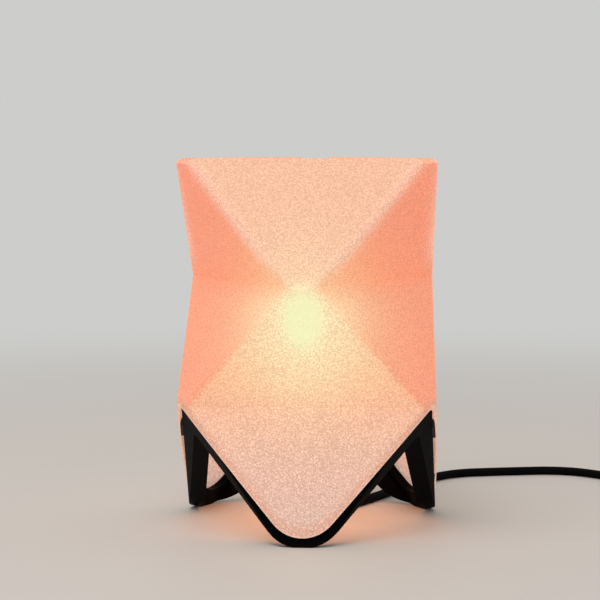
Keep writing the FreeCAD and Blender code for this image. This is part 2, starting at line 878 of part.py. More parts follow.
def rounded_block(length, width, bottom, top, radius, edge_radius):
    """A block along +X with round upright corners and eased edges at its far level face."""
    block = Part.makeBox(length, width, top - bottom, V(0, -width / 2, bottom))
    uprights = [e for e in block.Edges if abs(e.Vertexes[0].Z - e.Vertexes[1].Z) > 1]
    block = block.makeFillet(radius, uprights)
    face_level = top if abs(top) > abs(bottom) else bottom
    rim = [e for e in block.Edges if abs(e.CenterOfMass.z - face_level) < 0.01]
    return block.makeFillet(edge_radius, rim)


def rocker_seat():
    """The opening in the upper half that the rocker turns in."""
    length = size("rocker_length") + 2 * size("rocker_gap")
    width = size("rocker_width") + 2 * size("rocker_gap")
    floor = size("switch_height") / 2 - size("seat_depth")
    corner = V(size("switch_length") / 2 - length / 2, -width / 2, floor)
    return Part.makeBox(length, width, size("switch_height"), corner)


def rocker_level():
    """The level of the rocker's pivot, from the cord's axis."""
    return size("switch_height") / 2 - size("pivot_depth")


def pivot_pin(play=0.0):
    """The pin across the switch at the rocker's pivot, or with play the bore that it turns in."""
    reach = size("pivot_reach") + play
    start = V(size("switch_length") / 2, -reach, rocker_level())
    return Part.makeCylinder(size("pivot_radius") + play, 2 * reach, start, V(0, 1, 0))


def screw_bores():
    """Clearance holes for the two screws and their sunk heads, up from the underside."""
    play = size("running_clearance")
    bores = []
    for along_switch in (size("switch_screw_inset"), size("switch_length") - size("switch_screw_inset")):
        foot = V(along_switch, size("switch_screw_side"), -size("switch_height") / 2)
        depth = size("switch_height") - size("switch_screw_cover")
        bores.append(Part.makeCylinder(size("screw_radius") + play, depth, foot))
        sunk_depth = size("screw_head_height") + 0.6
        bores.append(Part.makeCylinder(size("screw_head_radius") + 0.2, sunk_depth, foot))
    return bores


def switch_pieces():
    """The two halves of the housing, with the cord's channel between them."""
    length, width, height = size("switch_length"), size("switch_width"), size("switch_height")
    clamp = size("cord_clamp_length")
    corner, edge = size("switch_corner_radius"), size("switch_edge_radius")
    channel = Part.makeCylinder(CORD_RADIUS, length - 2 * clamp, V(clamp, 0, 0), V(1, 0, 0))
    play = size("running_clearance")
    top = rounded_block(length, width, 0, height / 2, corner, edge)
    top = top.cut(rocker_seat()).cut(channel).cut(pivot_pin(play))
    bottom = rounded_block(length, width, -height / 2, 0, corner, edge).cut(channel)
    for bore in screw_bores():
        top = top.cut(bore)
        bottom = bottom.cut(bore)
    return {"switch_housing_top": top, "switch_housing_bottom": bottom}


def switch_rocker():
    """A rocker with two sloping faces, standing proud of the housing, and its pivot pin."""
    half = size("rocker_length") / 2
    middle = size("switch_length") / 2
    housing_top = size("switch_height") / 2
    high = housing_top + size("rocker_rise")
    low = housing_top - size("rocker_depth")
    draft = size("rocker_draft")
    outline = Part.makePolygon(
        [
            V(middle - half, 0, high),
            V(middle, 0, housing_top + size("rocker_valley")),
            V(middle + half, 0, high),
            V(middle + half - draft, 0, low),
            V(middle - half + draft, 0, low),
            V(middle - half, 0, high),
        ]
    )
    width = size("rocker_width")
    face = Part.Face(outline)
    face.translate(V(0, -width / 2, 0))
    rocker = face.extrude(V(0, width, 0)).fuse(pivot_pin())
    rocker.rotate(V(middle, 0, rocker_level()), V(0, 1, 0), size("rocker_tilt"))
    return rocker


def switch_screws():
    """Two screws that hold the halves together, heads below."""
    sink = 0.5
    shank = size("switch_height") - 2 * size("switch_screw_cover")
    foot_level = -size("switch_height") / 2 + sink + size("screw_head_height") + shank
    screws = []
    for along_switch in (size("switch_screw_inset"), size("switch_length") - size("switch_screw_inset")):
        one = screw(shank, ORIGIN)
        one.rotate(ORIGIN, V(1, 0, 0), 180)
        one.translate(V(along_switch, size("switch_screw_side"), foot_level))
        screws.append(laid(one))
    return Part.makeCompound(screws)


for label, shape in switch_pieces().items():
    feature(label, laid(shape))
feature("switch_rocker", laid(switch_rocker()))
feature("switch_screws", switch_screws())
PIVOT = laid(Part.Vertex(V(size("switch_length") / 2, 0, rocker_level()))).Point
PIVOT_WAY = laid(pivot_pin()).Faces[0].Surface.Axis
print("rocker pivot", [round(v, 4) for v in PIVOT], "axis", [round(v, 4) for v in PIVOT_WAY])


# ---------------------------------------------------------------- plug


def plug_laid(shape):
    """A piece made along +X from the origin, laid at the end of the cord."""
    copy = laid(shape)
    copy.translate(PLUG_START - SWITCH_START)
    return copy


def plug_body():
    """A flat moulded plug, narrow at the cord and wide at the pins, with finger hollows."""
    length, width, height = size("plug_length"), size("plug_width"), size("plug_height")
    neck = size("cord_diameter") + 2 * size("plug_neck_wall")
    shoulder = length * size("plug_shoulder_share")
    outline = Part.makePolygon(
        [
            V(0, -neck / 2, -height / 2),
            V(shoulder, -width / 2, -height / 2),
            V(length, -width / 2, -height / 2),
            V(length, width / 2, -height / 2),
            V(shoulder, width / 2, -height / 2),
            V(0, neck / 2, -height / 2),
            V(0, -neck / 2, -height / 2),
        ]
    )
    block = Part.Face(outline).extrude(V(0, 0, height))
    past_neck = [e for e in block.Edges if e.CenterOfMass.x > 5]
    uprights = [e for e in past_neck if abs(e.Vertexes[0].Z - e.Vertexes[1].Z) > 1]
    block = block.makeFillet(size("plug_corner_radius"), uprights)
    rims = [e for e in block.Edges if abs(abs(e.CenterOfMass.z) - height / 2) < 0.01]
    rims = [e for e in rims if 5 < e.CenterOfMass.x < length - 0.5]
    return block.makeFillet(size("plug_edge_radius"), rims)


def plug_pins():
    """Two round pins with rounded ends."""
    pins = []
    for side in (-1, 1):
        root = V(size("plug_length"), side * size("pin_spacing") / 2, 0)
        pin = Part.makeCylinder(size("pin_radius"), size("pin_length"), root, V(1, 0, 0))
        end = [e for e in pin.Edges if e.CenterOfMass.x > size("plug_length") + size("pin_length") - 0.01]
        pins.append(plug_laid(pin.makeFillet(size("pin_radius") * 0.6, end)))
    return Part.makeCompound(pins)


feature("plug_body", plug_laid(plug_body()))
feature("plug_pins", plug_pins())


# ---------------------------------------------------------------- check and write

NODES = [
    "shade_sheet",
    "foot_frame",
    "sheet_tabs",
    "bracket",
    "bracket_screws",
    "lampholder_body",
    "lampholder_cap",
    "lampholder_insert",
    "lampholder_screw_shell",
    "lampholder_contact",
    "lampholder_collar",
    "cord_grip",
    "bulb_globe",
    "bulb_cap",
    "bulb_insulator",
    "bulb_tip",
    "cord_free",
    "cord_coil",
    "cord_link",
    "switch_housing_top",
    "switch_housing_bottom",
    "switch_rocker",
    "switch_screws",
    "plug_body",
    "plug_pins",
]

doc.recompute()
for item in doc.Objects:
    if "Invalid" in item.State or "Error" in item.State:
        raise RuntimeError(f"{item.Label} failed: {item.State}")
for label in NODES:
    shape = doc.getObjectsByLabel(label)[0].Shape
    if shape.isNull() or not shape.isValid() or not shape.Solids:
        raise RuntimeError(f"{label} has no valid solid")
for label in NODES:
    shape = doc.getObjectsByLabel(label)[0].Shape
    shape.exportStep(f"parts/{label}.step")
    box = shape.BoundBox
    low = [round(v, 1) for v in (box.XMin, box.YMin, box.ZMin)]
    high = [round(v, 1) for v in (box.XMax, box.YMax, box.ZMax)]
    print(f"{label:26s} solids {len(shape.Solids):2d} volume {shape.Volume:10.1f} from {low} to {high}")
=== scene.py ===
"""Folded table lamp, lit, on a pale surface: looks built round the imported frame.

Metres, +Z up, the lamp's axis on Z, one foot towards -Y.
"""

import json
import math

import bpy
from mathutils import Matrix, Vector


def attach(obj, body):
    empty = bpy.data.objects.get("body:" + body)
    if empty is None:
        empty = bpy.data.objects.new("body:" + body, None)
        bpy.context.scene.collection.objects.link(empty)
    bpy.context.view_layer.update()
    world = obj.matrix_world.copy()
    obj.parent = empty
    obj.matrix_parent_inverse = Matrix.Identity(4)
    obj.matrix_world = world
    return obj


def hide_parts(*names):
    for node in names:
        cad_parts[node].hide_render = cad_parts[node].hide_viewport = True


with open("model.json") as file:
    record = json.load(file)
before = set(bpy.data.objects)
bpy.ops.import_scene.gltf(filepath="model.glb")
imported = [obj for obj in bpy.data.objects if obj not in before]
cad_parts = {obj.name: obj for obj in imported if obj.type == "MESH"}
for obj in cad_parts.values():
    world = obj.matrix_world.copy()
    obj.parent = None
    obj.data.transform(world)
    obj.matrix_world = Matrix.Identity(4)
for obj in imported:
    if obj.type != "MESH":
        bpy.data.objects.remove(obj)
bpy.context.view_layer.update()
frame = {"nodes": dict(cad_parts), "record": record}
NODES = frame["nodes"]

MM = 0.001
CORD_DIAMETER = 6.5 * MM
CORD_RADIUS = CORD_DIAMETER / 2
LIE = CORD_RADIUS  # the cord's line above the surface it lies on
WAIST_LEVEL = 170 * MM
SHOULDER_LEVEL = 87 * MM

# the sheet's folds and zigzag edge, as the solids have them
FOLD_HALF_WIDTH = 9 * MM  # of the blunt corner at the waist
UPPER_FOLD_SLOPE = 0.80
LOWER_FOLD_SLOPE = -0.855
EDGE_RUN_PER_RISE = 0.9131
EDGE_AXIS_LEVEL = -6.5 * MM
TIP_RADIUS = 26.5 * MM
TIP_CENTRE_LEVEL = 32.8 * MM
TIP_HALF_WIDTH = 19.57 * MM

# the painted light: half width and half height of each oval round the hot spot
SPOT_LEVEL = 149.5 * MM
HOT_OVAL = (16.5 * MM, 25.5 * MM)
HALO_OVAL = (34 * MM, 46 * MM)
MIDDLE_OVAL = (60 * MM, 80 * MM)
# painted shade above the zigzag edge, where the black frame behind the sheet keeps the bulb's light out
FRAME_SHADE_SPAN = (2 * MM, 11 * MM)  # full darkness to none, above the zigzag edge
# a thin pale painted highlight along the sheet's cut edge
EDGE_HIGHLIGHT_SPAN = (0.4 * MM, 1.6 * MM)
BULB_NECK = (112 * MM, 130 * MM)


# ---------------------------------------------------------------- camera


def place_camera():
    """The view of the photograph: a long lens a little above the shade's top edge."""
    distance = 1.287
    height = 0.262
    turn = math.radians(2.9)
    aside = math.radians(0.297)
    down = math.radians(4.735)
    data = bpy.data.cameras.new("front_view")
    data.lens = 110.4
    data.clip_start = 0.05
    data.clip_end = 60
    camera = bpy.data.objects.new("front_view", data)
    bpy.context.scene.collection.objects.link(camera)
    camera.location = (distance * math.sin(turn), -distance * math.cos(turn), height)
    camera.rotation_euler = (math.radians(90) - down, 0, turn + aside)
    bpy.context.scene.camera = camera


place_camera()


# ---------------------------------------------------------------- cord


def free_run():
    """From the lampholder down to the surface and out past the right back foot."""
    return [
        (0, 0, 0.044),
        (0, 0, 0.02025),
        (0.012, 0.012, LIE),
        (0.033, 0.044, LIE),
        (0.066, 0.107, LIE),
        (0.099, 0.169, LIE),
        (0.146, 0.181, LIE),
        (0.196, 0.190, LIE),
        (0.231, 0.163, LIE),
        (0.25705, 0.12695, LIE),
    ]


COIL_START = Vector((0.262, 0.122, LIE))
AWAY = Vector((math.sqrt(0.5), -math.sqrt(0.5), 0))
INWARD = Vector((math.sqrt(0.5), math.sqrt(0.5), 0))
TURN_STEP = 7.2 * MM
LAYER_RISE = 6.95 * MM
SWITCH_LEAD = 38 * MM
SWITCH_LENGTH = 62 * MM
LINK_LENGTH = 30 * MM
COIL_RADIUS = 42.5 * MM
HALF_TURNS = 12
CLIMBING_HALF_TURN = 5
STEPS_IN_HALF_TURN = 8


def coil_run():
    """Spirals in on the surface, climbs one layer in half a turn, and spirals out on top."""
    points = []
    place = COIL_START
    side = 1
    radius = COIL_RADIUS
    steps = STEPS_IN_HALF_TURN
    for half in range(HALF_TURNS):
        climbing = half == CLIMBING_HALF_TURN
        centre = place + INWARD * (side * radius)
        for step in range(steps):
            share = (step + 0.5) / steps
            angle = math.pi * share
            reach = radius / math.cos(math.pi / steps / 2)
            point = centre - INWARD * (side * reach * math.cos(angle))
            point = point + AWAY * (side * reach * math.sin(angle))
            if climbing:
                point.z += LAYER_RISE * (1 - math.cos(math.pi * share)) / 2
            points.append(tuple(point))
        place = centre + INWARD * (side * radius)
        if climbing:
            place = place + Vector((0, 0, LAYER_RISE))
        side = -side
        radius += -TURN_STEP / 2 if half < CLIMBING_HALF_TURN else TURN_STEP / 2
    return points, place


def lead_run(place):
    """From the coil through the inline switch and into the plug."""
    switch_start = place + AWAY * SWITCH_LEAD
    switch_end = switch_start + AWAY * SWITCH_LENGTH
    plug_start = switch_end + AWAY * LINK_LENGTH
    points = [place + AWAY * 4 * MM, switch_start, switch_end, plug_start]
    return [tuple(point) for point in points], switch_start, switch_end, plug_start


def make_cord(points):
    data = bpy.data.curves.new("cord", "CURVE")
    data.dimensions = "3D"
    data.bevel_depth = 1.0  # each point's own radius gives the thickness
    data.bevel_resolution = 5
    data.resolution_u = 10
    data.use_fill_caps = True
    spline = data.splines.new("NURBS")
    spline.points.add(len(points) - 1)
    for knot, point in zip(spline.points, points):
        knot.co = (*point, 1)
        knot.radius = CORD_RADIUS
    spline.order_u = 3
    spline.use_endpoint_u = True
    cord = bpy.data.objects.new("cord", data)
    bpy.context.scene.collection.objects.link(cord)
    return cord


coil_points, coil_end = coil_run()
lead_points, switch_start, switch_end, plug_start = lead_run(coil_end)
cord = make_cord(free_run() + coil_points + lead_points)
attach(cord, "lamp")
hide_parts("cord_free", "cord_coil", "cord_link")


# ---------------------------------------------------------------- modelling by hand

SMOOTH_BELOW = math.radians(35)
GROOVE_START = 0.75  # of the pitch between grooves
GROOVE_SHARE = 0.42
GROOVE_INSET = 0.15 * MM
GROOVE_DEPTH = 0.55 * MM
MOUTH_ROUNDING = 0.5 * MM


def start_fresh():
    """Leave edit mode and deselect everything before a new piece."""
    if bpy.context.mode != "OBJECT":
        bpy.ops.object.mode_set(mode="OBJECT")
    bpy.ops.object.select_all(action="DESELECT")


def begin_piece(name):
    """Name the primitive just added."""
    piece = bpy.context.object
    piece.name = name
    piece.data.name = name
    return piece


def pick_faces(piece, test):
    """Select the faces whose middle and normal pass the test, in the piece's own axes."""
    bpy.ops.object.mode_set(mode="OBJECT")
    mesh = piece.data
    for vertex in mesh.vertices:
        vertex.select = False
    for edge in mesh.edges:
        edge.select = False
    for face in mesh.polygons:
        face.select = bool(test(face.center, face.normal))
    bpy.ops.object.mode_set(mode="EDIT")
    bpy.ops.mesh.select_mode(type="FACE")


def cut_across(places):
    """Cut the open piece across its own Z at each place."""
    for place in places:
        bpy.ops.mesh.select_all(action="SELECT")
        bpy.ops.mesh.bisect(plane_co=(0, 0, place), plane_no=(0, 0, 1))


def finish_piece(piece, body):
    """Put the place into the mesh, shade it, and fix it to its body."""
    bpy.ops.object.mode_set(mode="OBJECT")
    bpy.ops.object.select_all(action="DESELECT")
    piece.select_set(True)
    bpy.context.view_layer.objects.active = piece
    bpy.ops.object.transform_apply(location=True, rotation=True, scale=True)
    bpy.ops.object.shade_smooth_by_angle(angle=SMOOTH_BELOW)
    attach(piece, body)
    return piece


def point_along(piece, start, direction):
    """Stand a piece made up its own Z from the origin at start, along direction."""
    piece.matrix_world = Matrix.Translation(start) @ direction.to_track_quat("Z", "X").to_matrix().to_4x4()


def tapered_sleeve(name, start, direction, length, wide, narrow, rings):
    """A flexible cord sleeve that tapers away from its housing, with grooves round it."""
    start_fresh()
    bpy.ops.mesh.primitive_cone_add(
        vertices=40, radius1=wide, radius2=narrow, depth=length, location=(0, 0, 0), end_fill_type="NGON"
    )
    piece = begin_piece(name)
    bpy.ops.object.mode_set(mode="EDIT")
    pitch = length / (rings + 1)
    lows = [-length / 2 + pitch * (ring + GROOVE_START) for ring in range(rings)]
    highs = [low + pitch * GROOVE_SHARE for low in lows]
    cut_across(sorted(lows + highs))

    def in_groove(centre, normal):
        return abs(normal.z) < 0.7 and any(low < centre.z < high for low, high in zip(lows, highs))

    pick_faces(piece, in_groove)
    bpy.ops.mesh.inset(thickness=GROOVE_INSET, depth=-GROOVE_DEPTH)
    pick_faces(piece, lambda centre, normal: centre.z > length / 2 - 0.01 * MM)
    bpy.ops.mesh.bevel(offset=MOUTH_ROUNDING, segments=3, affect="EDGES")
    bpy.ops.mesh.select_all(action="SELECT")
    bpy.ops.transform.translate(value=(0, 0, length / 2))
    bpy.ops.object.mode_set(mode="OBJECT")
    point_along(piece, start, direction)
    return finish_piece(piece, "lamp")


holder_sleeve = tapered_sleeve(
    "holder_cord_sleeve", Vector((0, 0, 0.0445)), Vector((0, 0, -1)), 22 * MM, 5.2 * MM, 3.7 * MM, 5
)
switch_sleeve = tapered_sleeve(
    "switch_cord_sleeve", switch_start + AWAY * 1 * MM, -AWAY, 23 * MM, 5.4 * MM, 3.8 * MM, 5
)
plug_sleeve = tapered_sleeve(
    "plug_cord_sleeve", plug_start + AWAY * 1 * MM, -AWAY, 21 * MM, 5.4 * MM, 3.8 * MM, 5
)


# ---------------------------------------------------------------- shared effects


class Wiring:
    """Short words for adding and joining nodes in one tree."""

    def __init__(self, tree):
        self.nodes = tree.nodes
        self.links = tree.links

    def add(self, kind, **settings):
        node = self.nodes.new(kind)
        for name, value in settings.items():
            setattr(node, name, value)
        return node

    def join(self, source, target):
        self.links.new(source, target)

    def feed(self, socket, value):
        if isinstance(value, bpy.types.NodeSocket):
            self.join(value, socket)
        else:
            socket.default_value = value

    def math(self, operation, first, second=0.0, third=0.0):
        node = self.add("ShaderNodeMath", operation=operation)
        for socket, value in zip(node.inputs, (first, second, third)):
            self.feed(socket, value)
        return node.outputs[0]

    def step(self, value, low, high):
        """0 below low, 1 above high, smooth between."""
        node = self.add("ShaderNodeMapRange", interpolation_type="SMOOTHSTEP")
        self.feed(node.inputs["Value"], value)
        self.feed(node.inputs["From Min"], low)
        self.feed(node.inputs["From Max"], high)
        return node.outputs["Result"]

    def mix(self, factor, first, second):
        node = self.add("ShaderNodeMix", data_type="RGBA")
        self.feed(node.inputs["Factor"], factor)
        self.feed(node.inputs["A"], first)
        self.feed(node.inputs["B"], second)
        return node.outputs["Result"]

    def noise(self, place, scale, detail=3.0, roughness=0.5):
        node = self.add("ShaderNodeTexNoise")
        self.feed(node.inputs["Vector"], place)
        node.inputs["Scale"].default_value = scale
        node.inputs["Detail"].default_value = detail
        node.inputs["Roughness"].default_value = roughness
        return node.outputs["Fac"]


def new_group(name, inputs, outputs):
    """An empty effect with named inputs (name, type, start value) and outputs (name, type)."""
    tree = bpy.data.node_groups.new(name, "ShaderNodeTree")
    for socket, kind, value in inputs:
        made = tree.interface.new_socket(socket, in_out="INPUT", socket_type=kind)
        if value is not None:
            made.default_value = value
    for socket, kind in outputs:
        tree.interface.new_socket(socket, in_out="OUTPUT", socket_type=kind)
    wiring = Wiring(tree)
    entry = wiring.add("NodeGroupInput")
    leave = wiring.add("NodeGroupOutput")
    return tree, wiring, entry, leave


FLOAT = "NodeSocketFloat"
VECTOR = "NodeSocketVector"


def grain_effect():
    """Fine moulded or coated grain: a height and a slow mottling mask."""
    tree, w, entry, leave = new_group(
        "surface_grain",
        [("Place", VECTOR, None), ("Grain Size", FLOAT, 0.8), ("Mottle Size", FLOAT, 12.0)],
        [("Height", FLOAT), ("Mottle", FLOAT)],
    )
    in_mm = w.add("ShaderNodeVectorMath", operation="SCALE")
    w.join(entry.outputs["Place"], in_mm.inputs["Vector"])
    in_mm.inputs["Scale"].default_value = 1000
    fine = w.add("ShaderNodeVectorMath", operation="SCALE")
    w.join(in_mm.outputs["Vector"], fine.inputs["Vector"])
    w.join(w.math("DIVIDE", 1.0, entry.outputs["Grain Size"]), fine.inputs["Scale"])
    slow = w.add("ShaderNodeVectorMath", operation="SCALE")
    w.join(in_mm.outputs["Vector"], slow.inputs["Vector"])
    w.join(w.math("DIVIDE", 1.0, entry.outputs["Mottle Size"]), slow.inputs["Scale"])
    w.join(w.noise(fine.outputs["Vector"], 1.0, 2.0), leave.inputs["Height"])
    w.join(w.noise(slow.outputs["Vector"], 1.0, 4.0, 0.6), leave.inputs["Mottle"])
    return tree


def dust_effect():
    """A thin pale dust on faces that look up, as a mask."""
    tree, w, entry, leave = new_group(
        "settled_dust",
        [("Place", VECTOR, None), ("Normal", VECTOR, None), ("Amount", FLOAT, 0.3)],
        [("Mask", FLOAT)],
    )
    parts = w.add("ShaderNodeSeparateXYZ")
    w.join(entry.outputs["Normal"], parts.inputs[0])
    up = w.step(parts.outputs["Z"], 0.5, 1.0)
    specks = w.step(w.noise(entry.outputs["Place"], 900.0, 4.0, 0.7), 0.52, 0.75)
    w.join(w.math("MULTIPLY", w.math("MULTIPLY", up, specks), entry.outputs["Amount"]), leave.inputs["Mask"])
    return tree


def lamp_light_effect():
    """Where the bulb's light comes through the sheet, with painted highlights along the upper creases and
    the cut edge and painted shade just above the zigzag edge. Folds and edges repeat in each third.
    """
    tree, w, entry, leave = new_group(
        "light_through_sheet",
        [("Place", VECTOR, None), ("Spot Level", FLOAT, SPOT_LEVEL), ("Crease Width", FLOAT, 0.0045)],
        [
            ("Hot", FLOAT),
            ("Halo", FLOAT),
            ("Middle", FLOAT),
            ("Kite", FLOAT),
            ("Crease", FLOAT),
            ("Frame Shade", FLOAT),
            ("Edge Highlight", FLOAT),
            ("Level", FLOAT),
        ],
    )
    place = w.add("ShaderNodeSeparateXYZ")
    w.join(entry.outputs["Place"], place.inputs[0])
    level = place.outputs["Z"]
    angle = w.math("ARCTAN2", place.outputs["X"], w.math("MULTIPLY", place.outputs["Y"], -1.0))
    turned = w.math("DIVIDE", angle, math.tau / 3)
    share = w.math("SUBTRACT", turned, w.math("ROUND", turned))
    from_front = w.math("ABSOLUTE", turned)
    reach_x = w.math("MULTIPLY", place.outputs["X"], place.outputs["X"])
    reach_y = w.math("MULTIPLY", place.outputs["Y"], place.outputs["Y"])
    reach = w.math("SQRT", w.math("ADD", reach_x, reach_y))
    across = w.math("MULTIPLY", reach, w.math("SINE", w.math("MULTIPLY", share, math.tau / 3)))
    across = w.math("ABSOLUTE", across)
    above = w.math("SUBTRACT", level, entry.outputs["Spot Level"])

    # the folds that run from the waist's blunt corner up to the rim and down to the shoulder
    over_waist = w.math("SUBTRACT", level, WAIST_LEVEL)
    upper_fold = w.math("MULTIPLY_ADD", over_waist, UPPER_FOLD_SLOPE, FOLD_HALF_WIDTH)
    lower_fold = w.math("MULTIPLY_ADD", over_waist, LOWER_FOLD_SLOPE, FOLD_HALF_WIDTH)
    fold = w.math("MAXIMUM", upper_fold, lower_fold)
    inside = w.math("SUBTRACT", fold, across)
    width = entry.outputs["Crease Width"]
    kite = w.step(inside, w.math("MULTIPLY", width, -1.0), width)
    w.join(kite, leave.inputs["Kite"])

    # a facet beside the front kites is lit from the front only, up to the next foot's own kites
    own_kite = w.math("MULTIPLY", kite, w.math("GREATER_THAN", from_front, 0.5))
    beside = w.math("MULTIPLY", w.math("LESS_THAN", from_front, 1.0), w.math("SUBTRACT", 1.0, own_kite))
    sideways = w.math("ABSOLUTE", place.outputs["X"])
    glow_across = w.math("MULTIPLY", sideways, beside)
    glow_across = w.math("MULTIPLY_ADD", across, w.math("SUBTRACT", 1.0, beside), glow_across)

    def ellipse(half_width, half_height):
        wide = w.math("DIVIDE", glow_across, half_width)
        tall = w.math("DIVIDE", above, half_height)
        return w.math("SQRT", w.math("ADD", w.math("MULTIPLY", wide, wide), w.math("MULTIPLY", tall, tall)))

    def bell(value, width):
        scaled = w.math("DIVIDE", value, width)
        return w.math("EXPONENT", w.math("MULTIPLY", w.math("MULTIPLY", scaled, scaled), -1.0))

    w.join(w.math("SUBTRACT", 1.0, w.step(ellipse(*HOT_OVAL), 0.45, 1.2)), leave.inputs["Hot"])
    w.join(bell(ellipse(*HALO_OVAL), 1.0), leave.inputs["Halo"])
    w.join(bell(ellipse(*MIDDLE_OVAL), 1.0), leave.inputs["Middle"])

    # Crease: a pale painted highlight along the upper folds
    on_upper = w.step(level, WAIST_LEVEL, WAIST_LEVEL + 0.025)
    w.join(w.math("MULTIPLY", bell(w.math("ADD", inside, 0.002), 0.0055), on_upper), leave.inputs["Crease"])

    # the zigzag edge: two straight sides joined by a round tip
    straight = w.math("MULTIPLY_ADD", across, 1 / EDGE_RUN_PER_RISE, EDGE_AXIS_LEVEL)
    squared = w.math("SUBTRACT", TIP_RADIUS**2, w.math("MULTIPLY", across, across))
    tip = w.math("SUBTRACT", TIP_CENTRE_LEVEL, w.math("SQRT", w.math("MAXIMUM", squared, 0.0)))
    past_tip = w.math("GREATER_THAN", across, TIP_HALF_WIDTH)
    edge = w.math("MULTIPLY", straight, past_tip)
    edge = w.math("MULTIPLY_ADD", tip, w.math("SUBTRACT", 1.0, past_tip), edge)
    from_edge = w.math("SUBTRACT", level, edge)
    # painted shade above the zigzag edge, where the frame behind the sheet keeps the bulb's light out
    w.join(w.math("SUBTRACT", 1.0, w.step(from_edge, *FRAME_SHADE_SPAN)), leave.inputs["Frame Shade"])
    # a thin pale painted highlight along the sheet's cut edge
    w.join(w.math("SUBTRACT", 1.0, w.step(from_edge, *EDGE_HIGHLIGHT_SPAN)), leave.inputs["Edge Highlight"])
    w.join(level, leave.inputs["Level"])
    return tree


GRAIN = grain_effect()
DUST = dust_effect()
LAMP_LIGHT = lamp_light_effect()


def new_material(name):
    """A material with its Principled shader, wiring and object coordinates ready."""
    material = bpy.data.materials.new(name)
    material.use_nodes = True
    w = Wiring(material.node_tree)
    shader = w.nodes["Principled BSDF"]
    place = w.add("ShaderNodeTexCoord").outputs["Object"]
    return material, w, shader, place


def place_group(w, tree, **values):
    node = w.add("ShaderNodeGroup")
    node.node_tree = tree
    for name, value in values.items():
        w.feed(node.inputs[name.replace("_", " ")], value)
    return node


def bump(w, shader, height, strength, distance):
    node = w.add("ShaderNodeBump")
    node.inputs["Strength"].default_value = strength
    node.inputs["Distance"].default_value = distance
    w.join(height, node.inputs["Height"])
    w.join(node.outputs["Normal"], shader.inputs["Normal"])


# ---------------------------------------------------------------- materials

# Light that the sheet gives off, by the facet that it comes through.
SIDE_HIGH_OUTER = (0.67, 0.18, 0.100, 1)
SIDE_HIGH_INNER = (0.68, 0.265, 0.105, 1)
SIDE_LOW_OUTER = (0.66, 0.195, 0.108, 1)
SIDE_LOW_INNER = (0.66, 0.31, 0.145, 1)
KITE_TOP = (0.58, 0.36, 0.225, 1)
KITE_OUTER = (0.72, 0.355, 0.205, 1)
KITE_INNER = (0.72, 0.53, 0.30, 1)
KITE_FOOT = (0.52, 0.34, 0.245, 1)
KITE_TIP = (0.42, 0.32, 0.27, 1)
# pale painted highlight along the upper folds
CREASE_HIGHLIGHT_TONE = (0.64, 0.45, 0.34, 1)
# painted shade where the black frame stands behind the sheet
FRAME_SHADE_TONE = (0.40, 0.21, 0.145, 1)
# pale painted highlight along the sheet's cut edge
EDGE_HIGHLIGHT_TONE = (0.72, 0.62, 0.54, 1)
HALO_TONE = (0.75, 0.68, 0.40, 1)
HOT_TONE = (0.66, 0.78, 0.44, 1)
GLINT_TONE = (0.95, 0.90, 0.82, 1)

EDGE_ON = (0.80, 0.96)  # facing values over which the painted marks fade out
PEBBLE_SCALE = 760
DARKEST_GRAIN = 0.80
GLINTS = (0.57, 0.68)


